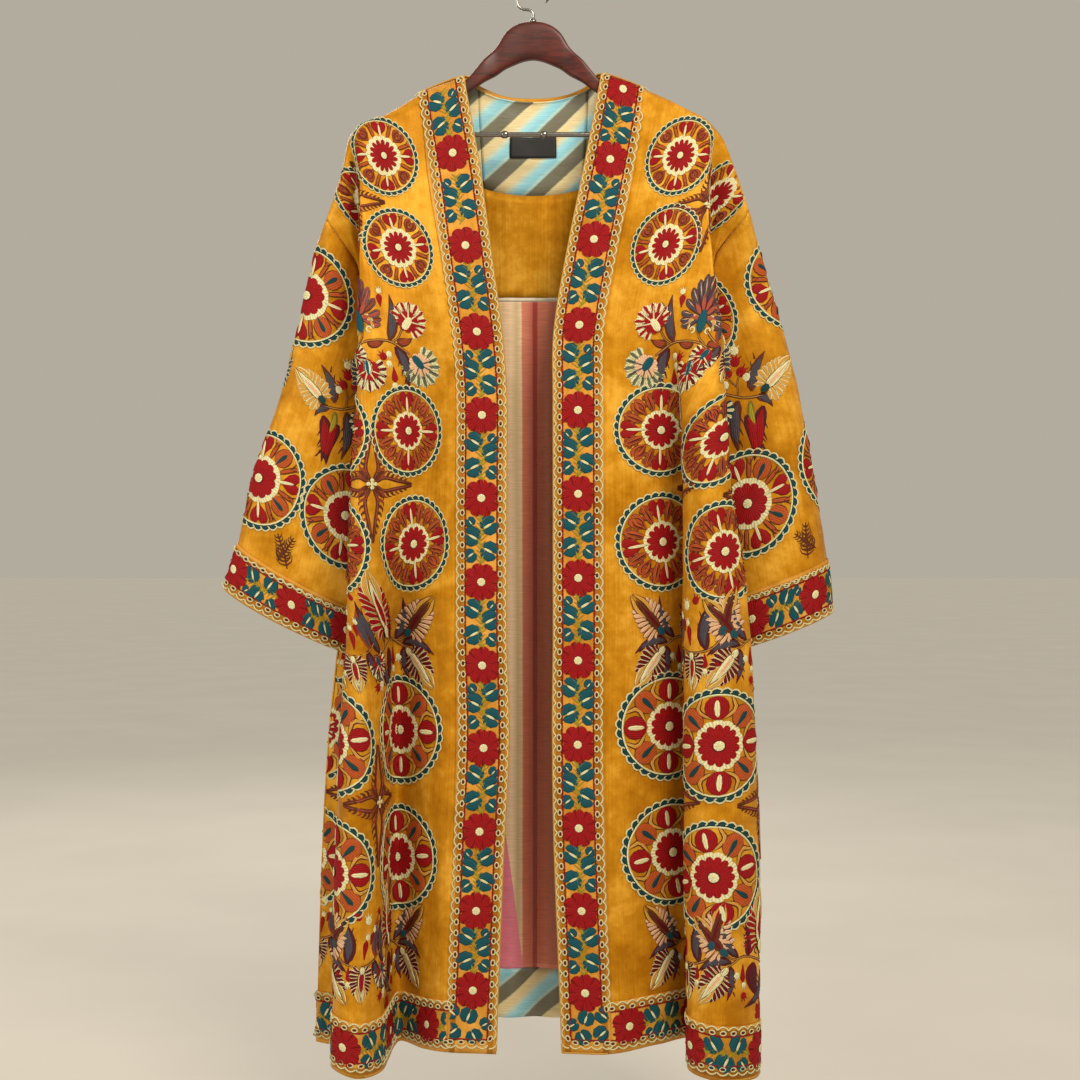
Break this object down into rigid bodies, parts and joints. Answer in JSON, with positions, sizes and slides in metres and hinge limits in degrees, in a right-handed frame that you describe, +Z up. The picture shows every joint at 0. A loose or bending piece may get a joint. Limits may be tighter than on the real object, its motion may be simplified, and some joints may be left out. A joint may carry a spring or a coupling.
{
  "type": "embroidered chapan robe on a wooden hanger",
  "caption": "Long open-front Central Asian robe in gold embroidered silk velvet with flowered bands, hanging on a contoured wooden hanger with a trouser bar.",
  "frame": {"origin": "inside top of the hanger's hook, where a rod carries it", "axes": "+X to the right of someone who faces the robe's front, -Y out of its front, +Z up"},
  "size_m": [0.737, 0.1886, 1.3094],
  "materials": {
    "velvet": "gold silk velvet with a soft sheen, embroidered in silk",
    "trim": "orange-gold velvet band with embroidered crimson flowers and a scalloped cream edging",
    "ikat": "diagonal ikat stripes in olive grey, cream and light blue, silky",
    "lining": "slubbed silk with vertical stripes in beige, rose brown and dark red",
    "piping": "pale cotton piping",
    "label": "plain black woven",
    "wood": "glossy varnished mahogany",
    "steel": "polished steel wire"
  },
  "bodies": {
    "root": {"front_left": "velvet", "front_right": "velvet", "back": "velvet", "sleeve_left": "velvet", "sleeve_right": "velvet", "yoke_lining": "velvet", "band_left": "trim", "band_right": "trim", "band_neck": "trim", "cuff_left": "trim", "cuff_right": "trim", "hem_border_left": "trim", "hem_border_right": "trim", "hem_border_back": "trim", "neck_facing": "ikat", "hem_facing": "ikat", "back_lining": "lining", "lining_piping": "piping", "neck_label": "label", "hanger_wood": "wood", "hanger_bar": "steel", "hanger_ferrule": "steel", "hanger_hook": "steel"}
  },
  "joints": []
}
